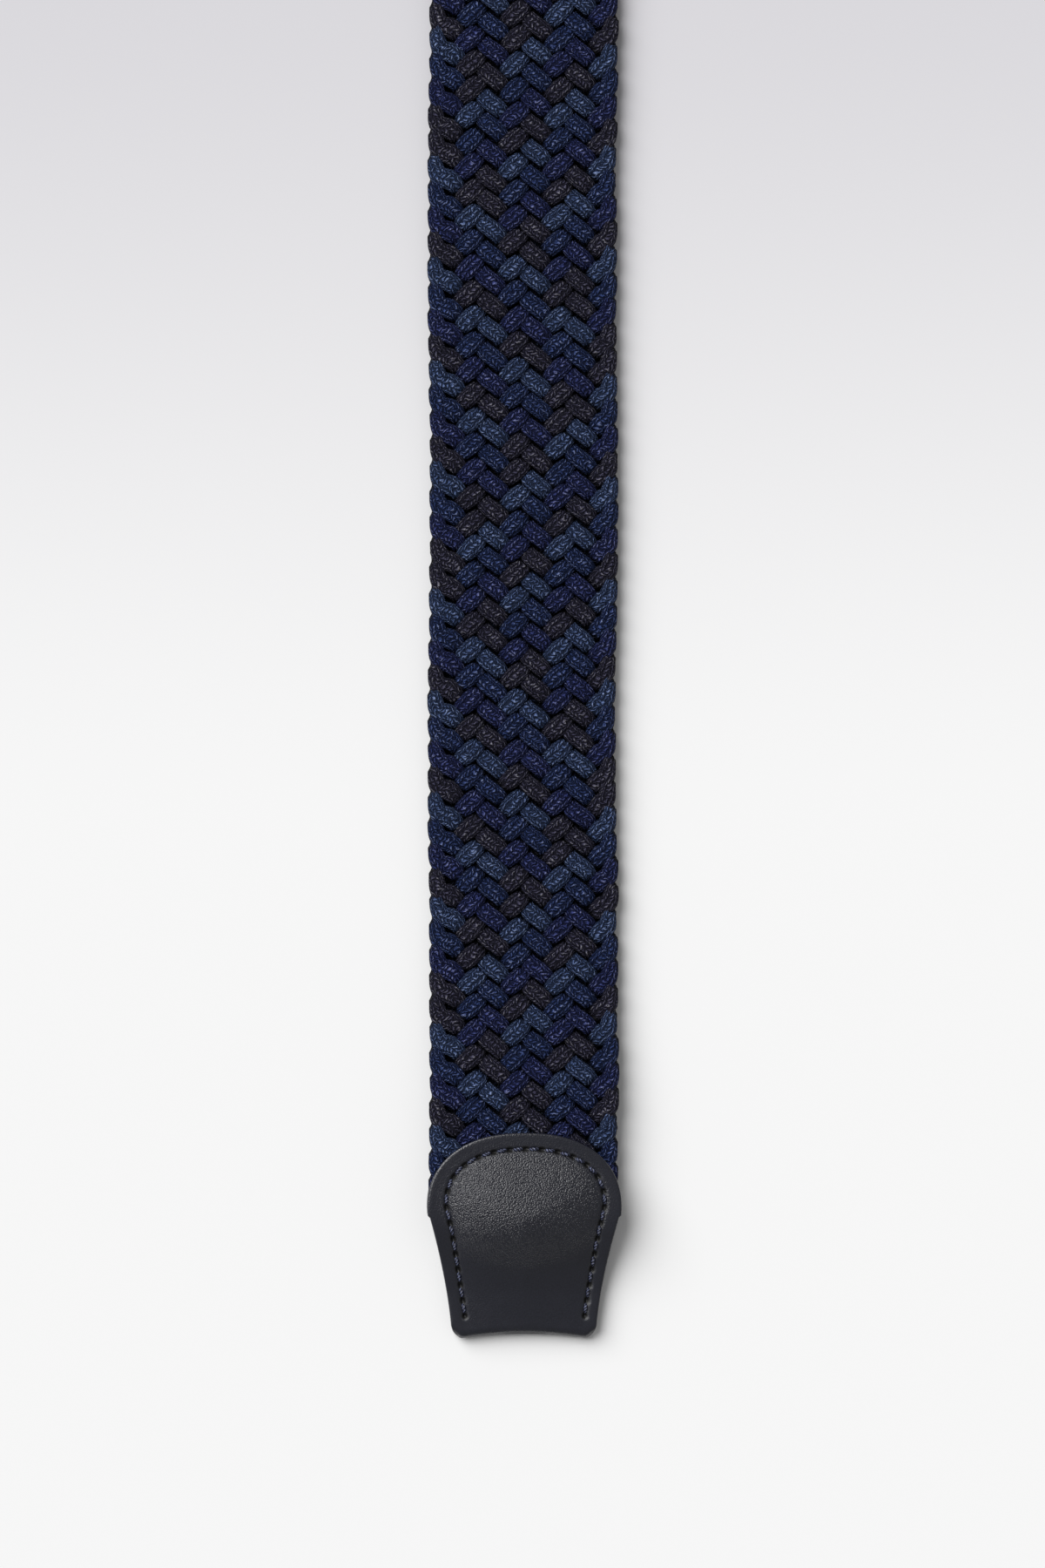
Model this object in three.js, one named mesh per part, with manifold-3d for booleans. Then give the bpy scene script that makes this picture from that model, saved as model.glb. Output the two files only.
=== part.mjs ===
// A braided elastic belt that lies flat and straight: a flat braid of seventeen strands, a folded leather
// tip, a folded leather chape and a plain frame buckle. Millimetres, +Z up, the tip towards -Y.
import * as THREE from "three";
import Module from "manifold-3d";
import { mergeVertices } from "three/addons/utils/BufferGeometryUtils.js";

// Driving dimensions
const STRAP_LENGTH = 1050; // from the end of the tip to the buckle's bar
const BRAID_WIDTH = 35;
const BRAID_THICKNESS = 3.4;
const ROW_PITCH = 4.7; // one strand follows the next at this distance along the braid
const LEATHER = 1.2;
const GAP = 0.3; // between pieces that touch on the real belt

// The braid
const SCALLOP = 0.5; // how far the edge dips between two strands that turn round it
const EDGE_ROUND = 1.3; // the rounded side of the braid, across the belt
const END_TAPER = 6.5; // the braid is trimmed to a taper inside each leather
const END_THICKNESS = 2.2; // and pressed thinner there
const RISE_LENGTH = 36; // over which the braid comes down from a leather to the surface

// The leathers. Stations run from the end of the piece, at 0, towards the middle of the belt.
const LEATHER_HALF = 17.9; // at the shoulder, where the rounded flap begins
const SHOULDER = 24.1;
const FLAP_LENGTH = 14.1; // from the shoulder to the top of the rounded flap
const FLAP_POWER = 2.3; // the flap's outline is a superellipse, fuller than an ellipse
const SIDE_POWER = 1.6; // the sides sweep in from the shoulder as a curve of this power
const POCKET_OPEN = 22.5; // from this station on, the pocket is open at both sides
const CORNER = 1.5;
const LEATHER_TOP = 12; // above every leather, for the outline that is cut through

// The buckle. Its bar runs along X through the origin of its own frame, and its front lies towards +Y.
const BAR_RADIUS = 1.6;
const BAR_HEIGHT = LEATHER + GAP + BAR_RADIUS; // the leather passes under the bar
const FOLD_RADIUS = BAR_HEIGHT; // outside of the leather round the bar
const FRAME_HALF = 22.75;
const FRAME_BAND = 4.5;
const FRAME_THICKNESS = 3;
const FRAME_FRONT = 32; // from the bar to the frame's front edge
const FRAME_CORNER = 10;
const FRAME_LUG = 3; // how far the side arms reach behind the bar
const FRAME_BEVEL = 0.7;
const PRONG_WIDTH = 3.6;
const PRONG_THICKNESS = 2;
const PRONG_REACH = 32.6;
const PRONG_SLOT = 6; // width of the slot in the leather
const SLOT_DEPTH = 7; // from the bar's axis into the leather

const wasm = await Module();
wasm.setup();

const COLOURS = {
  braid: { color: 0x1d2748, roughness: 0.85, metalness: 0 },
  leather: { color: 0x1b1d25, roughness: 0.5, metalness: 0 },
  buckle: { color: 0xb4b6ba, roughness: 0.3, metalness: 1 },
};

// Turns a closed geometry into a solid that can be cut and joined.
function toSolid(geometry) {
  const bare = geometry.clone();
  bare.deleteAttribute("normal");
  bare.deleteAttribute("uv");
  const merged = mergeVertices(bare, 1e-4);
  const mesh = new wasm.Mesh({
    numProp: 3,
    vertProperties: merged.attributes.position.array,
    triVerts: new Uint32Array(merged.index.array),
  });
  return new wasm.Manifold(mesh);
}

// Turns a solid back into a geometry.
function toGeometry(solid) {
  const mesh = solid.getMesh();
  const geometry = new THREE.BufferGeometry();
  geometry.setAttribute("position", new THREE.BufferAttribute(mesh.vertProperties, 3));
  geometry.setIndex(new THREE.BufferAttribute(mesh.triVerts, 1));
  geometry.computeVertexNormals();
  return geometry;
}

function named(name, geometry, finish) {
  const mesh = new THREE.Mesh(geometry, new THREE.MeshStandardMaterial(finish));
  mesh.name = name;
  return mesh;
}

// A closed body through sections along Y. Each section is { y, ring }, with a convex ring of [x, z] points
// listed so that x runs from left to right along the bottom.
function loft(sections) {
  const count = sections[0].ring.length;
  const positions = sections.flatMap(({ y, ring }) => ring.flatMap(([x, z]) => [x, y, z]));
  const index = [];
  for (let s = 0; s + 1 < sections.length; s++) {
    for (let i = 0; i < count; i++) {
      const next = (i + 1) % count;
      const near = [s * count + i, s * count + next];
      const far = [(s + 1) * count + i, (s + 1) * count + next];
      index.push(near[0], far[1], near[1], near[0], far[0], far[1]);
    }
  }
  const last = (sections.length - 1) * count;
  for (let i = 1; i + 1 < count; i++) {
    index.push(0, i, i + 1);
    index.push(last, last + i + 1, last + i);
  }
  const geometry = new THREE.BufferGeometry();
  geometry.setAttribute("position", new THREE.Float32BufferAttribute(positions, 3));
  geometry.setIndex(index);
  geometry.computeVertexNormals();
  return geometry;
}

// A value from a table with a station column, straight between its rows and constant past its ends.
function fromTable(table, column, station) {
  const next = table.findIndex((row) => row.station > station);
  if (next === 0) return table[0][column];
  if (next < 0) return table[table.length - 1][column];
  const [a, b] = [table[next - 1], table[next]];
  const share = (station - a.station) / (b.station - a.station);
  return THREE.MathUtils.lerp(a[column], b[column], share);
}

// Half the width of the braid at a distance from its trimmed end, and its thickness there.
function braidEnd(fromEnd, trimmedHalf) {
  const share = Math.min(1, fromEnd / END_TAPER);
  return {
    half: THREE.MathUtils.lerp(trimmedHalf, BRAID_WIDTH / 2, share),
    thickness: THREE.MathUtils.lerp(END_THICKNESS, BRAID_THICKNESS, share),
  };
}

// The rounded outline of a leather: half its width at a station, sweeping out to the shoulder and then
// closing in the rounded flap.
function leatherHalf(station, endHalf) {
  if (station < SHOULDER) {
    return THREE.MathUtils.lerp(endHalf, LEATHER_HALF, (Math.max(0, station) / SHOULDER) ** SIDE_POWER);
  }
  const along = Math.min(1, (station - SHOULDER) / FLAP_LENGTH);
  return LEATHER_HALF * (1 - along ** FLAP_POWER) ** (1 / FLAP_POWER);
}

// The outline of a leather, with rounded corners at its end. The end starts at a station, and is hollowed
// in its middle by a dip.
function leatherOutline({ endHalf, endStation, dip }) {
  const right = [];
  for (let i = 0; i <= 4; i++) {
    const turn = (i / 4) * (Math.PI / 2);
    right.push([
      endHalf - CORNER * (1 - Math.sin(turn)),
      endStation + CORNER * (1 - Math.cos(turn)),
    ]);
  }
  for (const station of [5, 9, 13, 17, 20.5]) {
    right.push([leatherHalf(station, endHalf), station]);
  }
  for (let i = 0; i < 10; i++) {
    const turn = (i / 10) * (Math.PI / 2);
    const station = SHOULDER + FLAP_LENGTH * Math.sin(turn);
    right.push([leatherHalf(station, endHalf), station]);
  }
  const bottom = [];
  const flat = endHalf - CORNER;
  for (let i = 1; i < 8; i++) {
    const x = THREE.MathUtils.lerp(-flat, flat, i / 8);
    bottom.push([x, endStation + dip * (1 - (x / flat) ** 2)]);
  }
  const left = right.map(([x, y]) => [-x, y]).reverse();
  const top = [[0, SHOULDER + FLAP_LENGTH]];
  return new THREE.Shape([...bottom, ...right, ...top, ...left].map(([x, y]) => new THREE.Vector2(x, y)));
}

// A folded leather: its outline cut through a crowned body, with a pocket for the end of the braid.
// The profile table gives the heights of its underside, its middle and its side edges at each station.
function leatherBody({ profile, endHalf, endStation, dip, braidStation, trimmedHalf }) {
  const shares = [-1, -0.88, -0.6, -0.3, 0, 0.3, 0.6, 0.88, 1];
  const stations = [profile[0].station - 1, ...profile.map((row) => row.station), SHOULDER + FLAP_LENGTH + 1];
  const crowned = stations.map((y) => {
    const half = y < SHOULDER ? leatherHalf(y, endHalf) : LEATHER_HALF;
    const [under, middle, edge] = ["under", "middle", "edge"].map((column) => fromTable(profile, column, y));
    const top = shares.map((share) => [half * share, edge + (middle - edge) * (1 - share ** 2)]).reverse();
    const side = half + 2;
    return { y, ring: [[-side, under], [side, under], [side, edge], ...top, [-side, edge]] };
  });
  const outline = new THREE.ExtrudeGeometry(leatherOutline({ endHalf, endStation, dip }), {
    depth: LEATHER_TOP,
    bevelEnabled: false,
  });
  outline.translate(0, 0, -1);

  const floor = LEATHER;
  const pocketStations = [0, END_TAPER / 2, POCKET_OPEN - braidStation];
  const pocket = pocketStations.map((fromEnd) => {
    const { half, thickness } = braidEnd(fromEnd, trimmedHalf);
    const [side, roof] = [half + GAP, floor + thickness + 2 * GAP];
    return {
      y: braidStation + fromEnd - (fromEnd === 0 ? GAP : 0),
      ring: [[-side, floor], [side, floor], [side, roof], [-side, roof]],
    };
  });
  const openHalf = LEATHER_HALF + 2;
  const roof = floor + BRAID_THICKNESS + 2 * GAP;
  const open = [POCKET_OPEN - 0.01, SHOULDER + FLAP_LENGTH + 2].map((y) => ({
    y,
    ring: [[-openHalf, floor], [openHalf, floor], [openHalf, roof], [-openHalf, roof]],
  }));
  return toSolid(outline)
    .intersect(toSolid(loft(crowned)))
    .subtract(toSolid(loft(pocket)))
    .subtract(toSolid(loft(open)));
}

// The tip: the leather folds round the end of the belt, stands full over the braid and lies flatter below it.
const TIP = {
  endHalf: 13.35,
  endStation: 0,
  dip: 0.8,
  braidStation: 17,
  trimmedHalf: 13,
  profile: [
    { station: 0, under: 0.9, middle: 2.2, edge: 2.0 },
    { station: 0.6, under: 0.25, middle: 2.9, edge: 2.6 },
    { station: 1.6, under: 0, middle: 3.2, edge: 2.8 },
    { station: 9, under: 0, middle: 3.8, edge: 2.9 },
    { station: 13, under: 0, middle: 5.0, edge: 3.2 },
    { station: 16.5, under: 0, middle: 6.8, edge: 4.0 },
    { station: 20, under: 0, middle: 8.1, edge: 5.3 },
    { station: 24, under: 0, middle: 8.5, edge: 6.1 },
    { station: 29, under: 0, middle: 8.1, edge: 6.15 },
    { station: 38, under: 0, middle: 6.6, edge: 6.2 },
  ],
};

// The chape: the same leather at the other end, folded round the buckle's bar and pinched between it and
// the braid. Station 0 is the bar's axis.
const CHAPE = {
  endHalf: 16.4,
  endStation: -FOLD_RADIUS,
  dip: 0,
  braidStation: 17,
  trimmedHalf: 15,
  profile: [
    { station: -FOLD_RADIUS, under: 2.3, middle: 3.9, edge: 3.9 },
    { station: -2.7, under: 1.57, middle: 4.63, edge: 4.63 },
    { station: -1.55, under: 0.42, middle: 5.78, edge: 5.78 },
    { station: 0, under: 0, middle: 6.2, edge: 6.2 },
    { station: 2.5, under: 0, middle: 6.1, edge: 6.0 },
    { station: 5.5, under: 0, middle: 4.8, edge: 4.4 },
    { station: 11, under: 0, middle: 4.6, edge: 4.0 },
    { station: 16.5, under: 0, middle: 5.4, edge: 4.6 },
    { station: 20, under: 0, middle: 6.2, edge: 5.4 },
    { station: 24, under: 0, middle: 6.6, edge: 6.1 },
    { station: 38, under: 0, middle: 6.5, edge: 6.2 },
  ],
};

function tipLeather() {
  return toGeometry(leatherBody(TIP));
}

function chapeLeather() {
  const tunnel = new THREE.CylinderGeometry(BAR_RADIUS + GAP, BAR_RADIUS + GAP, 2 * LEATHER_HALF + 4, 20);
  tunnel.rotateZ(Math.PI / 2);
  tunnel.translate(0, 0, BAR_HEIGHT);
  const slotLength = SLOT_DEPTH + FOLD_RADIUS + 1;
  const slot = new THREE.BoxGeometry(PRONG_SLOT, slotLength, LEATHER_TOP);
  slot.translate(0, SLOT_DEPTH - slotLength / 2, LEATHER_TOP / 2 - 1);
  return toGeometry(leatherBody(CHAPE).subtract(toSolid(tunnel)).subtract(toSolid(slot)));
}

// How high the braid lies above the surface at a station of the strap: level inside the leathers, and
// coming down to the surface between them.
function braidFloor(station) {
  const fromFlap = Math.min(station, STRAP_LENGTH - station) - (SHOULDER + FLAP_LENGTH + 1);
  return (LEATHER + GAP) * (1 - THREE.MathUtils.smoothstep(fromFlap, 0, RISE_LENGTH));
}

// The woven band as one solid. Its edges are scalloped, half a row apart on the two sides, as the strands
// turn round them.
function braid() {
  const first = TIP.braidStation;
  const last = STRAP_LENGTH - CHAPE.braidStation;
  const halfRows = Math.round((last - first) / (ROW_PITCH / 2));
  const sections = [];
  for (let i = 0; i <= halfRows; i++) {
    const y = THREE.MathUtils.lerp(first, last, i / halfRows);
    const nearTip = y - first < last - y;
    const trimmed = braidEnd(nearTip ? y - first : last - y, nearTip ? TIP.trimmedHalf : CHAPE.trimmedHalf);
    const [flat, floor] = [trimmed.half - EDGE_ROUND, braidFloor(y)];
    const [middle, top] = [floor + trimmed.thickness / 2, floor + trimmed.thickness];
    const [left, right] = [trimmed.half - SCALLOP * (i % 2), trimmed.half - SCALLOP * ((i + 1) % 2)];
    sections.push({
      y,
      ring: [[-flat, floor], [flat, floor], [right, middle], [flat, top], [-flat, top], [-left, middle]],
    });
  }
  return loft(sections);
}

// The frame's outline, open behind the bar: two side arms joined by the front, with rounded corners.
function frameShape() {
  const outer = FRAME_HALF - FRAME_BEVEL;
  const inner = FRAME_HALF - FRAME_BAND + FRAME_BEVEL;
  const front = FRAME_FRONT - FRAME_BEVEL;
  const innerFront = FRAME_FRONT - FRAME_BAND + FRAME_BEVEL;
  const innerCorner = FRAME_CORNER - FRAME_BAND;
  const back = -FRAME_LUG + FRAME_BEVEL;
  const shape = new THREE.Shape();
  shape.moveTo(outer, back);
  shape.lineTo(outer, front - FRAME_CORNER);
  shape.absarc(outer - FRAME_CORNER, front - FRAME_CORNER, FRAME_CORNER, 0, Math.PI / 2);
  shape.absarc(FRAME_CORNER - outer, front - FRAME_CORNER, FRAME_CORNER, Math.PI / 2, Math.PI);
  shape.lineTo(-outer, back);
  shape.lineTo(-inner, back);
  shape.absarc(innerCorner - inner, innerFront - innerCorner, innerCorner, Math.PI, Math.PI / 2, true);
  shape.absarc(inner - innerCorner, innerFront - innerCorner, innerCorner, Math.PI / 2, 0, true);
  shape.lineTo(inner, back);
  return shape;
}

// The buckle is one plain piece: the frame slopes down from the bar until its front rests on the surface,
// and the prong lies from the bar to the frame's front.
function buckle() {
  const slope = Math.asin((BAR_HEIGHT - FRAME_THICKNESS / 2) / (FRAME_FRONT - FRAME_BEVEL));
  const frame = new THREE.ExtrudeGeometry(frameShape(), {
    depth: FRAME_THICKNESS - 2 * FRAME_BEVEL,
    bevelThickness: FRAME_BEVEL,
    bevelSize: FRAME_BEVEL,
    bevelSegments: 2,
    curveSegments: 8,
  });
  frame.translate(0, 0, FRAME_BEVEL - FRAME_THICKNESS / 2);
  frame.rotateX(-slope);

  const bar = new THREE.CylinderGeometry(BAR_RADIUS, BAR_RADIUS, 2 * FRAME_HALF - FRAME_BAND, 20);
  bar.rotateZ(Math.PI / 2);

  const loopRadius = BAR_RADIUS + PRONG_THICKNESS / 2;
  const loop = new THREE.CylinderGeometry(loopRadius, loopRadius, PRONG_WIDTH, 24);
  loop.rotateZ(Math.PI / 2);

  const frontTop = FRAME_THICKNESS - BAR_HEIGHT;
  const side = new THREE.Shape();
  side.moveTo(0, 0);
  side.lineTo(FRAME_FRONT - FRAME_BAND / 2, frontTop - 0.6);
  side.lineTo(PRONG_REACH - 0.4, frontTop - 0.4);
  side.lineTo(PRONG_REACH, frontTop + 0.3);
  side.lineTo(PRONG_REACH - 0.7, frontTop + PRONG_THICKNESS - 0.7);
  side.lineTo(PRONG_REACH - 3, frontTop + PRONG_THICKNESS - 0.1);
  side.lineTo(4, loopRadius - 0.3);
  side.lineTo(0.5, loopRadius - 0.05);
  const prong = new THREE.ExtrudeGeometry(side, { depth: PRONG_WIDTH, bevelEnabled: false });
  // The shape's x runs along the belt and its y upwards.
  const upright = new THREE.Matrix4().set(0, 0, 1, -PRONG_WIDTH / 2, 1, 0, 0, 0, 0, 1, 0, 0, 0, 0, 0, 1);
  prong.applyMatrix4(upright);

  const solid = [bar, loop, prong].reduce((whole, piece) => whole.add(toSolid(piece)), toSolid(frame));
  return toGeometry(solid);
}

const belt = new THREE.Group();
belt.add(named("tip_leather", tipLeather(), COLOURS.leather));
belt.add(named("braid", braid(), COLOURS.braid));

const buckleEnd = new THREE.Group();
buckleEnd.position.set(0, STRAP_LENGTH, 0);
const chape = named("chape_leather", chapeLeather(), COLOURS.leather);
chape.rotation.z = Math.PI;
const clasp = named("buckle", buckle(), COLOURS.buckle);
clasp.position.z = BAR_HEIGHT;
buckleEnd.add(chape, clasp);
belt.add(buckleEnd);

// The origin is under the middle of the whole belt.
belt.position.y = -(STRAP_LENGTH + PRONG_REACH) / 2;

export default belt;
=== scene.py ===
# %% [markdown]
# A braided elastic belt lies flat on a pale surface. Its band is a flat braid of seventeen covered elastic
# cords, and a folded piece of leather closes each end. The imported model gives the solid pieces, and this
# script makes what the eye sees around them: every cord, the soft leather, the thread and the light.

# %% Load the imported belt
import math

import bmesh
import bpy
import numpy as np
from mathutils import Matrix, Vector


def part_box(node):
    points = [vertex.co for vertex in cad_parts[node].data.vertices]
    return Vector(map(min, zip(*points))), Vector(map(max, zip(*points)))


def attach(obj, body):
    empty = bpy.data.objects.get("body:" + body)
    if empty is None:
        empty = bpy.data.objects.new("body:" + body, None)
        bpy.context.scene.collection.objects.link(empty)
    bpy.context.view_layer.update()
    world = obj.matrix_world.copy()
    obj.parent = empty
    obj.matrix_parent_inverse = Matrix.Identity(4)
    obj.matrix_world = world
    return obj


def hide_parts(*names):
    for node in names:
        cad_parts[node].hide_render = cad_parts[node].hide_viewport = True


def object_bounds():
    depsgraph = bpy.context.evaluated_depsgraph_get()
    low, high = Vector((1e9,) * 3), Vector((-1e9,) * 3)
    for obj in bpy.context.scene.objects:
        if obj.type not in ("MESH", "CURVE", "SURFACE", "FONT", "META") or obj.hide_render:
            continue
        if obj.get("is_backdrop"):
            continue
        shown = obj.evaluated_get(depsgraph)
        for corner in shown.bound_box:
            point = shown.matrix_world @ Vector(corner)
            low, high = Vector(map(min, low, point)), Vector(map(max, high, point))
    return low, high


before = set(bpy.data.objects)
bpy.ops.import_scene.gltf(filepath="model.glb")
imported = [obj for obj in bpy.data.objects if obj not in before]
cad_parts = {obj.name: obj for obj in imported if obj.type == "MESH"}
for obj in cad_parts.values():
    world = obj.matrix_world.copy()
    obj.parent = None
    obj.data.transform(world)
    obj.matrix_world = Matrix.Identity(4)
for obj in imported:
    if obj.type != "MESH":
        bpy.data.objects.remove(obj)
cad_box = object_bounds()

MM = 0.001
FOLD_REACH = 3.1 * MM  # the chape's leather reaches this far behind the buckle's bar
TIP_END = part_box("tip_leather")[0].y
BAR_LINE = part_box("chape_leather")[1].y - FOLD_REACH
STRAP = (BAR_LINE - TIP_END) / MM
print(f"strap from tip to bar: {STRAP:.1f} mm")


# %% [markdown]
# Belt coordinates make the work easy: x across the belt, s along it from the end of the tip, and z up, all
# in millimetres. Two small helpers turn such points into metres at their real place. A third makes a mesh
# of them and writes its points, faces and named UV maps at once, which stays quick for long pieces.

# %% Points and faces to a piece
def at_tip(points):
    """Millimetres from the end of the tip, to metres in the belt's frame."""
    x, s, z = np.asarray(points, float).T
    return np.stack([x * MM, TIP_END + s * MM, z * MM], 1)


def at_bar(points):
    """The same, but s runs from the buckle's bar back towards the tip."""
    x, s, z = np.asarray(points, float).T
    return np.stack([-x * MM, BAR_LINE - s * MM, z * MM], 1)


def signed_volume(points, faces):
    """Volume inside closed quads, positive where they face outwards."""
    a, b, c, d = (points[faces[:, i]] for i in range(4))
    triple = lambda p, q, r: np.einsum("ij,ij->i", p, np.cross(q, r)).sum() / 6
    return triple(a, b, c) + triple(a, c, d)


def new_piece(name, points, quads, uv_maps, caps=()):
    """A mesh object from arrays of points and quads, named UV maps and a few larger end faces."""
    inside_out = signed_volume(points, quads) < 0
    if inside_out:
        quads = quads[:, ::-1]
        caps = [cap[::-1] for cap in caps]
    mesh = bpy.data.meshes.new(name)
    mesh.from_pydata(points.tolist(), [], quads.tolist() + [list(cap) for cap in caps])
    rest = np.zeros((sum(len(cap) for cap in caps), 2))
    for uv_name, uv in uv_maps.items():
        flat = (uv[:, ::-1] if inside_out else uv).reshape(-1, 2)
        layer = mesh.uv_layers.new(name=uv_name)
        layer.data.foreach_set("uv", np.concatenate([flat, rest]).ravel())
    mesh.shade_smooth()
    mesh.update()
    piece = bpy.data.objects.new(name, mesh)
    bpy.context.scene.collection.objects.link(piece)
    return piece


def only(piece):
    """Selects one piece and nothing else, as the operators act on all that is selected."""
    bpy.ops.object.select_all(action="DESELECT")
    piece.select_set(True)
    bpy.context.view_layer.objects.active = piece


def triangles(piece):
    """How many triangles the faces of a piece make."""
    return sum(len(face.vertices) - 2 for face in piece.data.polygons)


# %% [markdown]
# A cord or a thread is a section swept along a path. The section is a superellipse, between an ellipse and
# a rectangle, because a covered elastic cord is a flattened tube. At each station the path gives the
# centre, the way the flat side faces, and the two half sizes of the section.

# %% Sweep a section along a path
def lengths_along(path):
    """The length from the start of a path to each of its points."""
    return np.concatenate([[0], np.cumsum(np.linalg.norm(np.diff(path, axis=0), axis=1))])


def sweep(centres, facings, half_widths, half_heights, power, around):
    """Points and quads of a tube, its length and turn coordinates for a UV map, and its two end faces."""
    tangents = np.gradient(centres, axis=0)
    tangents /= np.linalg.norm(tangents, axis=1)[:, None]
    lean = np.einsum("ij,ij->i", facings, tangents)[:, None]
    facings = facings - lean * tangents
    facings /= np.linalg.norm(facings, axis=1)[:, None]
    across = np.cross(tangents, facings)
    turn = 2 * math.pi * np.arange(around) / around
    wide = np.sign(np.cos(turn)) * np.abs(np.cos(turn)) ** (2 / power)
    high = np.sign(np.sin(turn)) * np.abs(np.sin(turn)) ** (2 / power)
    points = (
        centres[:, None]
        + across[:, None] * (half_widths[:, None] * wide)[..., None]
        + facings[:, None] * (half_heights[:, None] * high)[..., None]
    )
    count = len(centres)
    i, j = np.meshgrid(np.arange(count - 1), np.arange(around), indexing="ij")
    nxt = (j + 1) % around
    quads = np.stack([i * around + j, i * around + nxt, (i + 1) * around + nxt, (i + 1) * around + j], -1)
    length = lengths_along(centres)
    uv = np.stack(
        [
            np.stack([length[i], j / around], -1),
            np.stack([length[i], (j + 1) / around], -1),
            np.stack([length[i + 1], (j + 1) / around], -1),
            np.stack([length[i + 1], j / around], -1),
        ],
        -2,
    )
    caps = [list(range(around))[::-1], [(count - 1) * around + k for k in range(around)]]
    return points.reshape(-1, 3), quads.reshape(-1, 4), uv.reshape(-1, 4, 2), caps


# %% [markdown]
# In the braid each cord runs across the belt over one column and under the next, turns round the edge, and
# comes back the other way. It needs seven rows for a run and one and a half for a turn, so it is back in
# its place after seventeen rows, and seventeen cords fill the braid. A phase counted in rows says where on
# this round a cord is. The floats that fall to the right lie flatter than those that fall to the left. At
# the edge a cord folds over early in its turn, so that the first float on top is a long one.

# %% The path of a cord
ROW_PITCH = 4.7
COLUMN_PITCH = 4.05
RUN = 7
TURN = 1.5
HALF_ROUND = RUN + TURN
CORDS = 17
FIRST_COLUMN = 3.5 * COLUMN_PITCH
EDGE_REACH = {"left": 2.28, "right": 1.42}  # from the outer column's middle to the cord at the edge
LAYER = 0.85  # half the distance between the upper and the lower cords
ROW_ZERO = 63.6  # from the tip's end to a float of the first cord in the first column
BRAID_START = 17.3
BRAID_END = STRAP - BRAID_START
LEAN = {"right_edge": 2.6, "right": 2.6, "left_edge": 0.3, "left": 1.75}  # how much flatter a float lies
DIVE = {"right": 0.24, "left": 0.42}  # how early a float goes down between its neighbours
DIVE_SPEED = 3.2  # how steeply
FLOAT_HALF = {"right_edge": 1.95, "right": 1.7, "left_edge": 1.88, "left": 1.9}
PINCHED_HALF = 1.55
PINCHED_THICK = 0.80  # half the thickness between two others
FLOAT_THICK = 0.92
TURN_HALF = 1.45
FOLD_AT = 0.34  # the share of a turn at which the cord folds over the edge
FOLD_SPEED = 4.5
BOW_POWER = 0.28  # small, as the turned edge is nearly straight
COLUMN_SHIFT = 0.22  # the columns lie a little to the right of the leather's middle
MEANDER = {"size": 0.2, "length": 97, "crest": 155}  # the whole band wanders a little from side to side


def smooth(t):
    """Eases from 0 to 1."""
    t = np.clip(t, 0, 1)
    return t * t * (3 - 2 * t)


def cord_round(phase):
    """Where a cord is on its round: the way it runs, its rows into the run and its share of the turn."""
    along = phase % HALF_ROUND
    leftwards = (phase % (2 * HALF_ROUND)) >= HALF_ROUND
    return leftwards, np.minimum(along, RUN), np.clip((along - RUN) / TURN, 0, 1)


def by_way(table, leftwards, run):
    """The value for a cord's way, with one of its own for the float in its first column."""
    first = np.where(leftwards, table["left_edge"], table["right_edge"])
    later = np.where(leftwards, table["left"], table["right"])
    return np.where(run < 0.5, first, later)


def weave(cosine, leftwards):
    """Up or down, from -1 to 1."""
    return np.tanh(DIVE_SPEED * (cosine - np.where(leftwards, DIVE["left"], DIVE["right"])))


def cord_path(phase):
    """Across, height and facing angle of the middle of a cord."""
    leftwards, run, turning = cord_round(phase)
    lean = by_way(LEAN, leftwards, run)
    wave = np.sin(2 * math.pi * run) / (2 * math.pi)
    bow = np.sin(math.pi * turning) ** BOW_POWER
    before, after = math.tanh(-FOLD_SPEED * FOLD_AT), math.tanh(FOLD_SPEED * (1 - FOLD_AT))
    flip = 2 * (np.tanh(FOLD_SPEED * (turning - FOLD_AT)) - before) / (after - before) - 1
    reach = np.where(leftwards, EDGE_REACH["left"], EDGE_REACH["right"])
    x = COLUMN_PITCH * run - FIRST_COLUMN + lean * wave + reach * bow
    low, high = weave(-1, leftwards), weave(1, ~leftwards)
    rising = low + (high - low) * (0.5 + 0.5 * flip)
    z = LAYER * np.where(turning > 0, rising, weave(np.cos(math.pi * run), leftwards))
    angle = 0.5 * math.pi * (1 + flip)
    return np.where(leftwards, -x, x), z, np.where(leftwards, math.pi - angle, angle)


def cord_sizes(phase):
    """Half the width and half the thickness of a cord, pinched where it dives between two others."""
    leftwards, run, turning = cord_round(phase)
    full = 0.5 + 0.5 * np.cos(2 * math.pi * run)
    arriving = by_way(FLOAT_HALF, leftwards, run)
    leaving = by_way(FLOAT_HALF, ~leftwards, 0 * run)
    float_half = arriving + (leaving - arriving) * smooth(turning)
    float_half = float_half + (TURN_HALF - float_half) * np.sin(math.pi * turning)
    wide = PINCHED_HALF + (float_half - PINCHED_HALF) * full
    return wide, PINCHED_THICK + (FLOAT_THICK - PINCHED_THICK) * full


# %% [markdown]
# The two ends of the braid go into the leathers. There it is trimmed to a taper, pressed thinner and lifted
# by the leather under it. One function bends a straight braid to that shape, for all the cords alike.

# %% Where the braid enters the leathers
LEATHER_LIFT = 1.5
LEVEL_END = 39.2  # the braid stays lifted to here, and comes down to the surface over the rise
RISE = 36
TRIMMED_END = 17
TAPER = 6.5
TRIMMED = {"tip": 13 / 17.5, "chape": 15 / 17.5}  # the share of the width that is left
PRESSED = 0.65  # and of the thickness
LOWEST = 0.01  # just above the surface that the belt lies on


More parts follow.
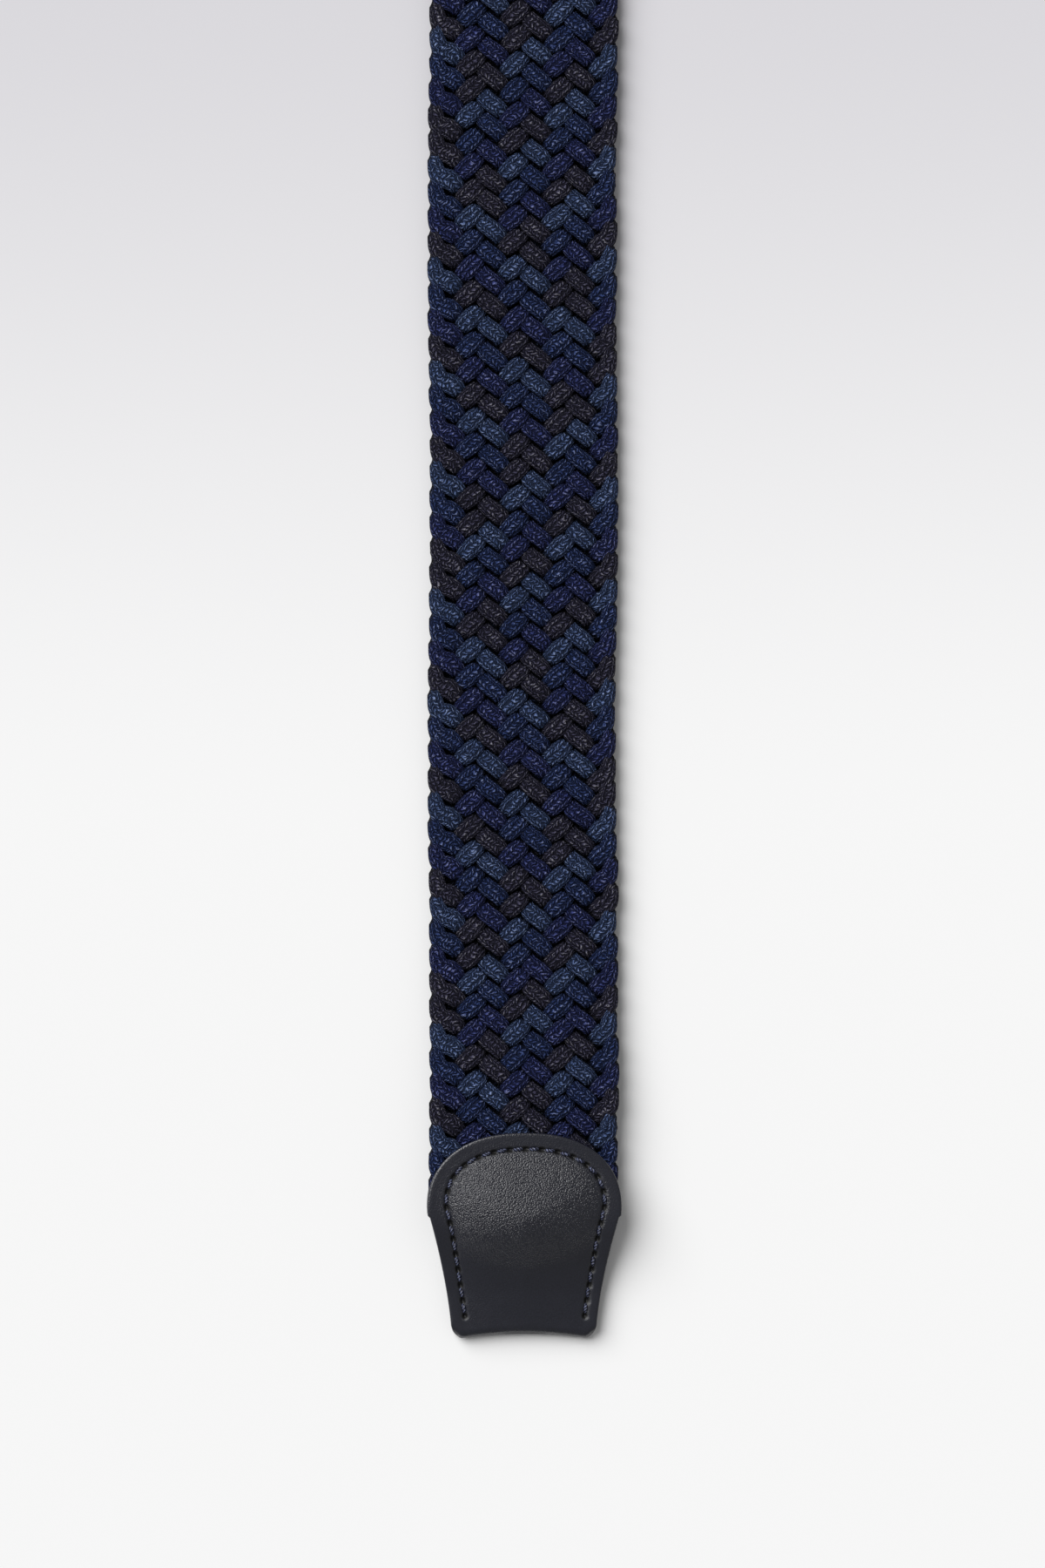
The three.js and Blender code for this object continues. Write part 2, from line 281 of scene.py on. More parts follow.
def bend_braid(points):
    """Tapers and lifts the ends of a straight braid whose underside is at zero."""
    x, s, z = points.T
    from_end = np.minimum(s, STRAP - s)
    share = np.clip((from_end - TRIMMED_END) / TAPER, 0, 1)
    trimmed = np.where(s < STRAP / 2, TRIMMED["tip"], TRIMMED["chape"])
    lift = LEATHER_LIFT * (1 - smooth((from_end - LEVEL_END) / RISE))
    pressed = PRESSED + (1 - PRESSED) * share
    x = x * (trimmed + (1 - trimmed) * share)
    return np.stack([x, s, np.maximum(z, LOWEST) * pressed + lift], 1)


# %% [markdown]
# All seventeen cords follow the same path, each one row behind the last. Small random shifts, drawn once
# for every row, keep the braid from looking like a machine part. Two UV maps go with a cord: one follows
# the knit along and round it, and the other holds how deep in the braid each point lies.

# %% The seventeen cords
PER_ROW = 10  # stations along a cord for each row
AROUND = 10
WALES = 7  # columns of knitted stitches round a cord
KNIT_SHIFT = 3.1  # the knit of one cord starts this far from that of the last
LOOSE = {"flat": 0.13, "height": 0.05}  # how unevenly the cords lie
LOOSE_HALF = 17.2  # the edges stay even
ORDER = ["charcoal", "charcoal", "steel", "navy", "violet"] + 3 * ["charcoal", "steel", "navy", "violet"]
chance = np.random.default_rng(17)


def make_cord(number):
    """One whole cord from leather to leather."""
    first = (ROW_ZERO - BRAID_END) / ROW_PITCH
    last = (ROW_ZERO - BRAID_START) / ROW_PITCH
    rows = np.linspace(first, last, int((last - first) * PER_ROW) + 1)
    phase = rows - number
    x, z, angle = cord_path(phase)
    s = ROW_ZERO - ROW_PITCH * rows
    knots = np.arange(math.floor(first) - 1, math.ceil(last) + 2)
    loose = chance.normal(0, 1, (3, len(knots)))
    near_ends = smooth((rows - first) * 3) * smooth((last - rows) * 3)
    inside = smooth((LOOSE_HALF - np.abs(x)) / 1.5) * near_ends
    x = x + LOOSE["flat"] * inside * np.interp(rows, knots, loose[0])
    s = s + LOOSE["flat"] * inside * np.interp(rows, knots, loose[1])
    z = z + LOOSE["height"] * inside * np.interp(rows, knots, loose[2])
    wander = MEANDER["size"] * np.cos(2 * math.pi * (s - MEANDER["crest"]) / MEANDER["length"])
    centres = np.stack([x + COLUMN_SHIFT + wander, s, z + 2 * LAYER], 1)
    facings = np.stack([-np.sin(angle), np.zeros_like(angle), np.cos(angle)], 1)
    wide, thick = cord_sizes(phase)
    points, quads, uv, caps = sweep(centres, facings, wide, thick, 3, AROUND)
    uv = uv * [1, WALES] + [KNIT_SHIFT * number, 0]
    # how deep each point lies, which the cover uses for painted shade between the cords
    depth = np.minimum(points[:, 2], 4 * LAYER - points[:, 2])[quads]
    maps = {"knit": uv, "nest": np.stack([depth, 0 * depth], -1)}
    name = f"cord_{number + 1:02d}_{ORDER[number]}"
    return new_piece(name, at_tip(bend_braid(points)), quads, maps, caps)


cords = [make_cord(number) for number in range(CORDS)]
print(f"cords: {len(cords)}, {triangles(cords[0])} triangles each")


# %% [markdown]
# A shader recipe is a handful of small nodes. A helper adds one node, sets its values and joins its inputs,
# so that each recipe below reads as a list of steps.

# %% A helper for shader nodes
class Recipe:
    """Writes the nodes of one material."""

    def __init__(self, name):
        self.material = bpy.data.materials.new(name)
        self.material.use_nodes = True
        self.nodes = self.material.node_tree.nodes
        self.links = self.material.node_tree.links
        self.shader = next(n for n in self.nodes if n.type == "BSDF_PRINCIPLED")

    def put(self, socket, value):
        """Joins an output to a socket, or sets the socket's own value."""
        if isinstance(value, bpy.types.NodeSocket):
            self.links.new(value, socket)
        else:
            socket.default_value = value

    def add(self, kind, inputs=None, output=0, **settings):
        """Adds a node, fills its inputs and gives back one of its outputs."""
        node = self.nodes.new("ShaderNode" + kind)
        for key, value in settings.items():
            setattr(node, key, value)
        for key, value in (inputs or {}).items():
            self.put(node.inputs[key], value)
        return node.outputs[output]

    def math(self, operation, first, second=0.0, third=0.0):
        return self.add("Math", {0: first, 1: second, 2: third}, operation=operation)

    def span(self, value, low, high, start=0.0, end=1.0):
        """Maps low..high to start..end, smoothly and without passing the ends."""
        inputs = {"Value": value, "From Min": low, "From Max": high, "To Min": start, "To Max": end}
        return self.add("MapRange", inputs, interpolation_type="SMOOTHSTEP")

    def ramp(self, value, stops):
        """A colour ramp from a list of (place, colour)."""
        node = self.nodes.new("ShaderNodeValToRGB")
        while len(node.color_ramp.elements) < len(stops):
            node.color_ramp.elements.new(0.5)
        for element, (place, colour) in zip(node.color_ramp.elements, stops):
            element.position = place
            element.color = (*colour, 1)
        self.put(node.inputs[0], value)
        return node.outputs[0]

    def mix(self, share, first, second):
        node = self.nodes.new("ShaderNodeMix")
        node.data_type = "RGBA"
        self.put(node.inputs[0], share)
        self.put(node.inputs[6], first)
        self.put(node.inputs[7], second)
        return node.outputs[2]

    def noise(self, vector, scale, detail=2.0, rough=0.5):
        inputs = {"Vector": vector, "Scale": scale, "Detail": detail, "Roughness": rough}
        return self.add("TexNoise", inputs)

    def place(self):
        """Object coordinates, in metres."""
        return self.add("TexCoord", output=3)

    def uv(self, name):
        """The two numbers of a named UV map."""
        node = self.nodes.new("ShaderNodeUVMap")
        node.uv_map = name
        split = self.nodes.new("ShaderNodeSeparateXYZ")
        self.links.new(node.outputs[0], split.inputs[0])
        return split.outputs[0], split.outputs[1]

    def bump(self, height, distance):
        return self.add("Bump", {"Height": height, "Distance": distance, "Strength": 1.0})


# %% [markdown]
# The cover of an elastic cord is a fine knitted tube. Each column of stitches is a row of small V shapes,
# two legs that lean towards each other. The height of a leg follows from two numbers on the cord's own UV
# map: the length along it and the column round it. The same height lifts the surface and paints the colour:
# a painted highlight on the tops of the legs and painted shade in the gaps between them. The cover is also
# painted darker with the depth in the second map, as painted shade for the little light that comes down
# between the cords.

# %% The knitted covers
STITCH = 0.72  # the length of a knitted stitch
LEG_LEAN = 1.15
KNIT_NOISE = {"row": 900, "column": 1000, "fibre": 5200}  # noise cells in a metre
KNIT_BUMP = 3.6 * MM
PAINTED_HIGHLIGHT = (0.17, 0.17, 0.12)  # a painted highlight, added to the dye on the tops of the legs
COVERS = {
    "charcoal": (0.079, 0.076, 0.138),
    "steel": (0.104, 0.164, 0.370),
    "navy": (0.050, 0.085, 0.260),
    "violet": (0.052, 0.070, 0.250),
}


def knitted(name, colour):
    recipe = Recipe(f"knitted cover {name}")
    place = recipe.place()
    along, turn = recipe.uv("knit")
    drift = recipe.noise(place, KNIT_NOISE["row"], 2)
    turn = recipe.math("MULTIPLY_ADD", recipe.noise(place, KNIT_NOISE["column"], 2), 0.8, turn)
    side = recipe.math("SUBTRACT", recipe.math("FRACT", turn), 0.5)
    leg = recipe.math("MULTIPLY", recipe.math("ABSOLUTE", side), 2.0)
    step = recipe.math("ADD", recipe.math("DIVIDE", along, STITCH), recipe.math("MULTIPLY", leg, LEG_LEAN))
    step = recipe.math("MULTIPLY_ADD", drift, 1.5, step)
    across = recipe.math("ABSOLUTE", recipe.math("SUBTRACT", recipe.math("FRACT", step), 0.5))
    ridge = recipe.span(across, 0.5, 0.05)
    belly = recipe.span(recipe.math("ABSOLUTE", recipe.math("SUBTRACT", leg, 0.5)), 0.52, 0.0)
    stitch = recipe.math("MULTIPLY", ridge, belly)
    half_wale = recipe.math("FLOOR", recipe.math("MULTIPLY", turn, 2.0))
    number = recipe.add("CombineXYZ", {0: recipe.math("FLOOR", step), 1: half_wale})
    lot = recipe.add("TexWhiteNoise", {"Vector": number})
    uneven = recipe.math("MULTIPLY_ADD", lot, 0.85, 0.35)
    fibre = recipe.noise(place, KNIT_NOISE["fibre"], 2, 0.6)
    raised = recipe.math("MULTIPLY", stitch, uneven)
    height = recipe.math("MULTIPLY_ADD", fibre, 0.2, raised)
    # painted light: the stitch height sets painted shade in the gaps and a painted highlight on the tops
    painted_light_tone = recipe.math("MULTIPLY", raised, recipe.span(fibre, 0.3, 0.7, 0.7, 1.15))
    depth, _ = recipe.uv("nest")
    # painted shade: the deeper a point lies between the cords, the nearer its colour is painted to black
    painted_depth_shade = recipe.span(depth, 1.15, 0.3, 0.1, 1.0)
    # the ramp runs from painted shade in the gaps, through the dye, to a painted highlight on the tops
    low = tuple(0.12 * part for part in colour)
    high = tuple(1.6 * part + pale for part, pale in zip(colour, PAINTED_HIGHLIGHT))
    yarn = recipe.ramp(painted_light_tone, [(0.0, low), (0.4, colour), (1.0, high)])
    recipe.put(recipe.shader.inputs["Base Color"], recipe.mix(painted_depth_shade, (0.0, 0.0, 0.0, 1.0), yarn))
    recipe.shader.inputs["Roughness"].default_value = 0.55
    recipe.shader.inputs["Specular IOR Level"].default_value = 0.08
    recipe.put(recipe.shader.inputs["Normal"], recipe.bump(height, KNIT_BUMP))
    return recipe.material


covers = {name: knitted(name, colour) for name, colour in COVERS.items()}
for cord, name in zip(cords, ORDER):
    cord.data.materials.append(covers[name])
    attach(cord, "root")
    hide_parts("braid")
print("covers:", ", ".join(covers))


# %% [markdown]
# Each leather is one piece, folded and sewn through. Seen from above it has a waist at the fold, sides that
# sweep out to a shoulder, and a rounded flap on the braid. The outline is made once from a few named sizes
# and gives the mesh its rays: each ray runs from a point of the outline to the middle line of the piece.

# %% The outline of a leather
SHOULDER = 22.6  # where the sides end in a small nick
FLAP_WIDEST = 24.1
FLAP = 14.1
FLAP_POWER = 2.3  # fuller than an ellipse
CURVE_POWER = 1.5  # of the sides' sweep and of the corners
NICK = {"depth": 0.06, "length": 0.35}
LEATHER = 1.2  # the thickness of one layer
RAYS = 520
TIP = {
    "end": 0,
    "end_half": 13.3,
    "side_half": 17.42,
    "flap_half": 17.9,
    "dip": 0.8,
    "corner": 1.9,
    "round": 1.7,
    "axis": (9.0, 24.0),
    "stitch_start": 4.0,
}
CHAPE = {
    "end": -3.1,
    "end_half": 16.4,
    "side_half": 17.42,
    "flap_half": 17.9,
    "dip": 0,
    "corner": 1.0,
    "round": 3.1,
    "axis": (6.0, 24.0),
    "stitch_start": 9.5,
}


def side_half(shape, s):
    """Half the width at a station below the shoulder."""
    share = np.clip(s / SHOULDER, 0, 1) ** CURVE_POWER
    return shape["end_half"] + (shape["side_half"] - shape["end_half"]) * share


def bottom_edge(shape, x):
    """The station of the folded end at a distance across: hollow in the middle, with round corners."""
    flat = shape["end_half"] - shape["corner"]
    past = np.clip(np.abs(x) - flat, 0, shape["corner"])
    hollow = shape["dip"] * np.clip(1 - (x / flat) ** 2, 0, 1)
    left = np.maximum(shape["corner"] ** CURVE_POWER - past**CURVE_POWER, 0)
    return shape["end"] + hollow + shape["corner"] - left ** (1 / CURVE_POWER)


def points_at(path, length, where):
    """Points of a flat path at lengths along it."""
    return np.stack([np.interp(where, length, path[:, i]) for i in (0, 1)], 1)


def outline(shape):
    """Closed outline, evenly spaced, from the middle of the folded end round to it again."""
    xs = np.linspace(0, 1, 60) ** 0.8 * shape["end_half"]
    bottom = np.stack([xs, bottom_edge(shape, xs)], 1)
    s = np.linspace(shape["end"] + shape["corner"], SHOULDER, 60)[1:]
    side = np.stack([side_half(shape, s), s], 1)
    turn = np.linspace(0, math.pi / 2, 120)
    flap_s = np.sin(turn)
    flap_x = (1 - flap_s**FLAP_POWER) ** (1 / FLAP_POWER)
    flap = np.stack([shape["flap_half"] * flap_x, FLAP_WIDEST + FLAP * flap_s], 1)
    nick = [shape["flap_half"] - NICK["depth"], SHOULDER + NICK["length"]]
    flap = np.concatenate([[nick], flap])
    half = np.concatenate([bottom, side, flap])
    whole = np.concatenate([half, half[::-1][1:] * [-1, 1]])
    length = lengths_along(whole)
    return points_at(whole, length, np.linspace(0, length[-1], RAYS, endpoint=False))


def edge_distance(shape, points):
    """Distance from points to the sewn outline, without the folded end."""
    ring = outline(shape)
    keep = ring[:, 1] > shape["end"] + shape["corner"] + 0.2
    sewn = ring[keep]
    # in order round the piece, so that the gap between first and last lies at the folded end
    order = np.argsort(np.arctan2(sewn[:, 0], sewn[:, 1] - 20))
    sewn = sewn[order]
    flat = points.reshape(-1, 1, 2)
    start, step = sewn[:-1][None], np.diff(sewn, axis=0)[None]
    share = np.clip(((flat - start) * step).sum(-1) / (step**2).sum(-1), 0, 1)
    gap = np.linalg.norm(flat - start - share[..., None] * step, axis=-1)
    return gap.min(1).reshape(points.shape[:-1])


# %% [markdown]
# Heights come from short tables along the piece: how high it stands at its edge and in its middle. A sewn
# groove follows the edge, with a needle hole between every two stitches. Inside it the leather swells, most
# where the braid's end lies below, and a little more on the left than on the right.

# %% The height of a leather
TIP_HEIGHTS = np.array(
    # station, edge, middle
    [
        [0.0, 2.6, 2.8],
        [4.0, 2.65, 3.2],
        [9.0, 2.8, 3.9],
        [13.0, 3.5, 5.2],
        [15.5, 4.3, 6.5],
        [18.0, 5.1, 7.7],
        [20.0, 5.8, 8.4],
        [22.5, 6.1, 8.7],
        [25.0, 6.15, 8.6],
        [29.0, 6.15, 8.2],
        [33.0, 6.15, 7.6],
        [38.3, 6.15, 6.8],
    ]
)
CHAPE_HEIGHTS = np.array(
    # station, edge, middle
    [
        [-3.1, 6.2, 6.2],
        [0.5, 6.2, 6.2],
        [3.0, 5.6, 5.8],
        [5.5, 4.5, 4.8],
        [11.0, 4.2, 4.7],
        [16.5, 4.6, 5.6],
        [20.0, 5.4, 6.5],
        [24.0, 6.1, 7.0],
        [30.0, 6.15, 7.0],
        [38.3, 6.15, 6.6],
    ]
)


def soft_table(table, column, s):
    """A column of a table at stations, with its corners eased."""
    near = np.linspace(-2, 2, 9)
    weights = np.exp(-((near / 1.2) ** 2))
    values = sum(w * np.interp(s + n, table[:, 0], table[:, column]) for n, w in zip(near, weights))
    return values / weights.sum()


INSET = {"at_fold": 2.55, "more_at_shoulder": 0.7, "less_on_flap": 0.25, "more_on_left": 0.01}


def stitch_inset(x, s):
    """Distance of the sewn line from the edge."""
    shoulder = INSET["more_at_shoulder"] * smooth((s - 8) / 16)
    flap = INSET["less_on_flap"] * smooth((s - 24) / 10)
    return INSET["at_fold"] + shoulder - flap - INSET["more_on_left"] * x


PITCH = 2.96  # from stitch to stitch
GROOVE = {"depth": 0.3, "width": 0.42}
HOLE = {"depth": 0.55, "length": 0.5, "width": 0.32}
SWELL = {"height": 1.25, "reach": 7.5, "tilt": 0.02}  # its steepness inside the seam and its lean


def seam_line(shape):
    """The sewn line round the flap, the length along it, the true pitch and the number of stitches."""
    ring = outline(shape)
    step = np.roll(ring, -1, axis=0) - np.roll(ring, 1, axis=0)
    normal = np.stack([-step[:, 1], step[:, 0]], 1) / np.linalg.norm(step, axis=1)[:, None]
    line = ring + normal * stitch_inset(ring[:, 0], ring[:, 1])[:, None]
    # leaves out the folded end and the step at the nick
    sewn = (ring[:, 1] > shape["end"] + shape["corner"] + 0.5) & (line[:, 1] > shape["stitch_start"])
    line = line[sewn & (np.abs(ring[:, 1] - SHOULDER - 0.6) > 1.8)]
    length = lengths_along(line)
    line = points_at(line, length, np.linspace(0, length[-1], 150))
    for _ in range(3):
        line[1:-1] = 0.25 * line[:-2] + 0.5 * line[1:-1] + 0.25 * line[2:]
    length = lengths_along(line)
    count = round(length[-1] / PITCH)
    return line, length, length[-1] / count, count


def seam_place(shape, points):
    """Where points lie along the seam, counted in stitches, and how far beside it."""
    line, length, pitch, _ = seam_line(shape)
    start, step = line[:-1][None], np.diff(line, axis=0)[None]
    away = points[:, None] - start
    share = np.clip((away * step).sum(-1) / (step**2).sum(-1), 0, 1)
    gap = np.linalg.norm(away - share[..., None] * step, axis=-1)
    nearest = gap.argmin(1)
    rows = np.arange(len(points))
    along = length[nearest] + share[rows, nearest] * np.diff(length)[nearest]
    return along / pitch, gap[rows, nearest]


def seam_dent(shape, x, s):
    """Depth of the sewn groove, and of the needle holes between the stitches."""
    stitch, beside = seam_place(shape, np.stack([x, s], -1))
    from_hole = np.abs(stitch - np.round(stitch)) * PITCH
    along, across = from_hole / HOLE["length"], beside / HOLE["width"]
    hole = HOLE["depth"] * np.exp(-(along**4) - across**2)
    return GROOVE["depth"] * np.exp(-((beside / GROOVE["width"]) ** 2)) + hole


def top_height(shape, heights, x, s):
    """The upper face of a leather, without its rounded end."""
    inset = edge_distance(shape, np.stack([x, s], -1))
    edge, middle = (soft_table(heights, column, s) for column in (1, 2))
    inside = np.maximum(inset - stitch_inset(x, s), 0)
    swell = SWELL["height"] - SWELL["height"] * np.exp(-inside / SWELL["reach"])
    swell = swell * (1 - SWELL["tilt"] * x)
    return edge + (middle - edge) * swell - seam_dent(shape, x, s)


# %% [markdown]
# The skin is a net of rays and rings. From the middle line the rings run out over the upper face, round the
# cut edge, into the slot between the two layers, round the lower edge and back under the piece. At the
# folded end there is no cut edge, so there the rings close up into one smooth round.

# %% The skin of a leather
# insets from the outline, shares of the way in, and (inset, drop) round the cut edge
OUTER_RINGS = [4.6, 4.2, 3.9, 3.65, 3.45, 3.25, 3.05, 2.85, 2.65, 2.45, 2.25, 1.9, 1.4, 0.9, 0.5]
INNER_SHARES = [0.0, 0.06, 0.14, 0.24, 0.36, 0.48, 0.6, 0.72, 0.84, 0.93]
EDGE_ROUND = [(0.22, 0.04), (0.07, 0.14), (0.0, 0.34), (0.0, 0.84), (0.07, 1.06), (0.25, 1.17)]
SLOT = {"folded": 0.45, "deeper": 7, "start": 20.5, "over": 2.5}


def slot_depth(s):
    """How far the gap between the layers goes in: a crease up to the shoulder, then room for the braid."""
    return SLOT["folded"] + SLOT["deeper"] * smooth((s - SLOT["start"]) / SLOT["over"])


def leather_points(shape, heights):
    """The rings of the skin, from the middle of the upper face round to the middle of the lower one."""
    ring = outline(shape)
    axis_s = np.clip(ring[:, 1], *shape["axis"])
    axis = np.stack([np.zeros(RAYS), axis_s], 1)
    to_axis = axis - ring
    reach = np.linalg.norm(to_axis, axis=1)
    inward = to_axis / reach[:, None]
    inner = [reach - (reach - OUTER_RINGS[0]) * share for share in INNER_SHARES]
    insets = inner + [np.full(RAYS, inset) for inset in OUTER_RINGS]

    past_end = ring[:, 1] - shape["end"]
    folded = 1 - smooth((past_end - 0.6) / 1.2)
    folded = np.where(np.abs(ring[:, 0]) > shape["end_half"] + 0.4, 0, folded)

    def face(inset, top):
        at = ring + inward * np.broadcast_to(inset, RAYS)[:, None]
        height = top_height(shape, heights, at[:, 0], at[:, 1])
        middle_height = 0.5 * height
        from_end = at[:, 1] - bottom_edge(shape, at[:, 0])
        share = np.clip(from_end / shape["round"], 0, 1)
        bulge = np.sqrt(1 - (1 - share) ** 2)
        if top:
            z = middle_height + (height - middle_height) * bulge
        else:
            z = middle_height * (1 - bulge) + seam_dent(shape, at[:, 0], at[:, 1])
        return np.column_stack([at, z])

    rings = [face(inset, True) for inset in insets]
    upper, lower = face(0.5, True)[:, 2], face(0.5, False)[:, 2]
    middle = 0.5 * (upper + lower)
    depth = slot_depth(ring[:, 1])
    steps = [(inset, upper - drop) for inset, drop in EDGE_ROUND]
    steps += [(depth, upper - LEATHER), (depth, lower + LEATHER)]
    steps += [(inset, lower + drop) for inset, drop in EDGE_ROUND[::-1]]
    for inset, z in steps:
        at = ring + inward * (inset * (1 - folded))[:, None]
        rings.append(np.column_stack([at, z + (middle - z) * folded]))
    rings += [face(inset, False) for inset in insets[::-1]]
    return np.array(rings)


def leather_piece(name, shape, heights, place):
    """The skin as one mesh, with maps of the distance from its edge and of the place along its seam."""
    rings = leather_points(shape, heights)
    count = len(rings)
    i, j = np.meshgrid(np.arange(count - 1), np.arange(RAYS), indexing="ij")
    nxt = (j + 1) % RAYS
    quads = np.stack([i * RAYS + j, i * RAYS + nxt, (i + 1) * RAYS + nxt, (i + 1) * RAYS + j], -1)
    flat = rings[..., :2]
    inset = edge_distance(shape, flat).ravel()
    stitch, beside = seam_place(shape, flat.reshape(-1, 2))
    quads = quads.reshape(-1, 4)
    maps = {
        "edge": np.stack([inset, rings[..., 2].ravel()], -1)[quads],
        "seam": np.stack([stitch, beside], -1)[quads],
    }
    piece = new_piece(name, place(rings.reshape(-1, 3)), quads, maps)
    net = bmesh.new()
    net.from_mesh(piece.data)
    bmesh.ops.remove_doubles(net, verts=net.verts, dist=0.004 * MM)
    bmesh.ops.dissolve_degenerate(net, edges=net.edges, dist=0.002 * MM)
    bmesh.ops.recalc_face_normals(net, faces=net.faces)
    net.to_mesh(piece.data)
    net.free()
    piece.data.shade_smooth()
    return piece


tip = leather_piece("tip", TIP, TIP_HEIGHTS, at_tip)
chape = leather_piece("chape", CHAPE, CHAPE_HEIGHTS, at_bar)
print(f"tip: {triangles(tip)} triangles, chape: {triangles(chape)}")


# %% [markdown]
# The chape needs two openings: a tunnel for the buckle's bar and a slot for its prong. Each cutter is a
# primitive of the opening's size, and a Boolean modifier takes it away, as a punch would. The prong's punch
# is a block with its upright edges bevelled, which gives the slot its round ends.

# %% Cut the chape for the buckle
BAR_HEIGHT = 3.1 * MM
BAR_TUNNEL = 1.9 * MM  # the tunnel's radius
PRONG_SLOT = (6 * MM, 14 * MM, 12 * MM)
SLOT_END = 2.9 * MM  # the radius of its round ends


def cut(piece, cutter):
    """Takes the cutter's shape away from a piece."""
    only(piece)
    modifier = piece.modifiers.new("opening", "BOOLEAN")
    modifier.operation = "DIFFERENCE"
    modifier.solver = "EXACT"
    modifier.object = cutter
    bpy.ops.object.modifier_apply(modifier=modifier.name)
    bpy.data.objects.remove(cutter)


bpy.ops.object.select_all(action="DESELECT")
bpy.ops.mesh.primitive_cylinder_add(
    vertices=48,
    radius=BAR_TUNNEL,
    depth=40 * MM,
    location=(0, BAR_LINE, BAR_HEIGHT),
    rotation=(0, math.pi / 2, 0),
)
cut(chape, bpy.context.object)
bpy.ops.object.select_all(action="DESELECT")
bpy.ops.mesh.primitive_cube_add(size=1, location=(0, BAR_LINE, BAR_HEIGHT))
punch = bpy.context.object
punch.dimensions = PRONG_SLOT
bpy.ops.object.transform_apply(location=True, rotation=True, scale=True)
bpy.ops.object.mode_set(mode="EDIT")
bpy.ops.mesh.select_mode(type="EDGE")
bpy.ops.mesh.select_all(action="DESELECT")
net = bmesh.from_edit_mesh(punch.data)
for edge in net.edges:
    a, b = (v.co for v in edge.verts)
    edge.select = abs(a.z - b.z) > PRONG_SLOT[2] / 2
bmesh.update_edit_mesh(punch.data)
bpy.ops.mesh.bevel(offset=SLOT_END, segments=8)
bpy.ops.object.mode_set(mode="OBJECT")
cut(chape, punch)
print(f"chape after the cuts: {triangles(chape)} triangles")


# %% [markdown]
# The belt's leather is soft and black with a fine pebble grain. The grain is a smooth cell pattern with a
# little noise, in real size. It is pressed flat near the cut edge and where the piece is thin. The needle
# holes get painted shade, near black, with the seam map, which counts the stitches along the sewn line and
# tells how far beside it a point lies.

# %% The leather's finish
PEBBLES = 3700.0  # cells in a metre
PORES = 4200
GRAIN_BUMP = 0.115 * MM
HOLE_SHADE = {"length": 0.74, "width": 0.52}
LEATHER_COLOURS = [(0, (0.0066, 0.0073, 0.0132)), (1, (0.0096, 0.0105, 0.0180))]
HOLE_PAINTED_SHADE = (0.0008, 0.0008, 0.0012, 1.0)


def leather_finish():
    recipe = Recipe("grained leather")
    place = recipe.place()
    inset, level = recipe.uv("edge")
    stitch, beside = recipe.uv("seam")
    inputs = {"Vector": place, "Scale": PEBBLES, "Smoothness": 0.18}
    cells = recipe.add("TexVoronoi", inputs, feature="SMOOTH_F1")
    fine = recipe.noise(place, PORES, 2, 0.6)
    pebble = recipe.math("SUBTRACT", 1.0, recipe.math("MULTIPLY", cells, 1.1))
    pebble = recipe.math("ADD", pebble, recipe.math("MULTIPLY", fine, 0.5))
    pressed = recipe.span(inset, 1.0, 4.6, 0.3, 1.0)
    plump = recipe.span(level, 4.2, 6.6, 0.3, 1.0)
    grain = recipe.math("MULTIPLY", pebble, recipe.math("MULTIPLY", pressed, plump))
    from_hole = recipe.math("PINGPONG", stitch, 0.5)
    along = recipe.math("POWER", recipe.math("MULTIPLY", from_hole, PITCH / HOLE_SHADE["length"]), 2.0)
    across = recipe.math("POWER", recipe.math("DIVIDE", beside, HOLE_SHADE["width"]), 2.0)
    ellipse = recipe.math("ADD", along, across)
    # painted shade: the needle holes are painted near black
    hole = recipe.span(ellipse, 1.6, 0.8)
    colour = recipe.ramp(recipe.span(pebble, 0.4, 1.2), LEATHER_COLOURS)
    recipe.put(recipe.shader.inputs["Base Color"], recipe.mix(hole, colour, HOLE_PAINTED_SHADE))
    rough = recipe.span(recipe.noise(place, 260, 3), 0.3, 0.7, 0.26, 0.31)
    rough = recipe.math("ADD", rough, recipe.span(ellipse, 4.0, 1.0, 0.0, 0.25))
    recipe.put(recipe.shader.inputs["Roughness"], rough)
    recipe.shader.inputs["Specular IOR Level"].default_value = 0.6
    recipe.put(recipe.shader.inputs["Normal"], recipe.bump(grain, GRAIN_BUMP))
    return recipe.material


leather = leather_finish()
for piece, node in ((tip, "tip_leather"), (chape, "chape_leather")):
    piece.data.materials.clear()
    piece.data.materials.append(leather)
    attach(piece, "root")
    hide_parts(node)


# %% [markdown]
# The seam is a row of short thread pieces. Each dives into a needle hole at both ends, and two plies twist
# round each other, which the finish shows as slanted stripes, with a painted highlight on the crest of each
# ply and painted shade between the plies. One stitch is swept like a cord, and all the stitches of a
# leather are joined in one mesh.

# %% The stitches
SHOWN = 1.85  # the length of a stitch between its holes
THREAD = 0.31  # half the thread's width
FLATTENED = 0.85  # the thread's height for its width
SLANT = 0.09  # how far to the side of the sewn line a stitch ends
ARCH = 0.24  # the height of a stitch's middle over the leather
PLUNGE = 0.70  # from there down to its ends in the holes
POINTS = 10  # stations along a stitch
THREAD_DYE_AND_PAINTED_LIGHT = [(0, (0.006, 0.007, 0.016)), (0.6, (0.018, 0.022, 0.052)), (1, (0.11, 0.125, 0.21))]


